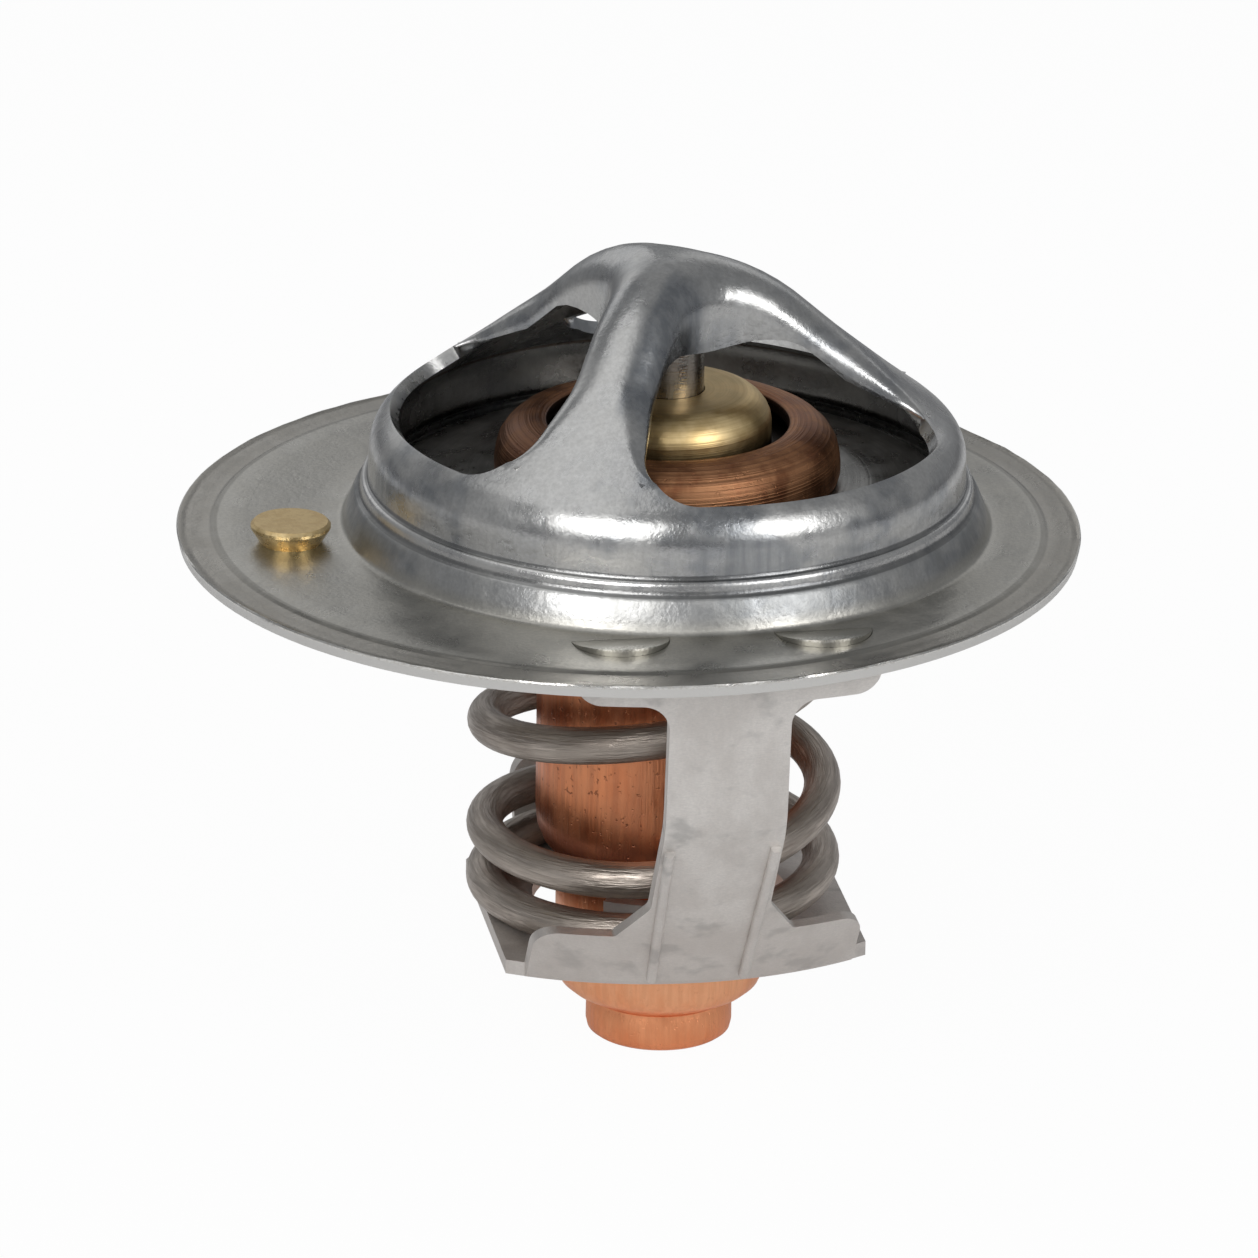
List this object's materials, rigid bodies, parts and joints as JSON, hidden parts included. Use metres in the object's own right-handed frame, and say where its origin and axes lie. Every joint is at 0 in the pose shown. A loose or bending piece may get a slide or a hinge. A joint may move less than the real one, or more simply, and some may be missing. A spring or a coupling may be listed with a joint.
{
  "type": "engine coolant thermostat",
  "caption": "Wax-type coolant thermostat: flange with a three-strut bridge over a sprung poppet valve, a copper wax cup below in a folded stirrup, and a loose vent pin.",
  "frame": {"origin": "centre of the flange, on its upper face", "axes": "+Z along the valve axis towards the bridge's hub, +X from the loose vent pin to the valve axis"},
  "size_m": [0.052, 0.052, 0.0479],
  "materials": {
    "bridge_steel": "satin",
    "stirrup_steel": "matt",
    "spring_steel": "drawn wire",
    "pin_steel": "ground",
    "disc_steel": "satin",
    "cup_copper": "drawn copper",
    "guide_brass": "turned",
    "vent_brass": "turned",
    "black_rubber": "matt",
    "wax": "copper-filled wax"
  },
  "bodies": {
    "frame": {"flange_bridge": "bridge_steel", "stirrup": "stirrup_steel", "main_spring": "spring_steel", "piston_pin": "pin_steel"},
    "valve": {"wax_cup": "cup_copper", "guide_sleeve": "guide_brass", "pin_seal": "black_rubber", "rubber_boot": "black_rubber", "wax_charge": "wax", "valve_disc": "disc_steel"},
    "vent": {"vent_pin": "vent_brass"}
  },
  "joints": [
    {"name": "valve_lift", "type": "slide", "parent": "frame", "child": "valve", "axis": [0, 0, -1], "range_m": [0, 0.0085], "stiffness_N_per_m": 5000, "springref_m": -0.01, "deforming": ["main_spring"]},
    {"name": "vent_pin_lift", "type": "slide", "parent": "frame", "child": "vent", "axis": [0, 0, 1], "range_m": [0, 0.0012]}
  ]
}
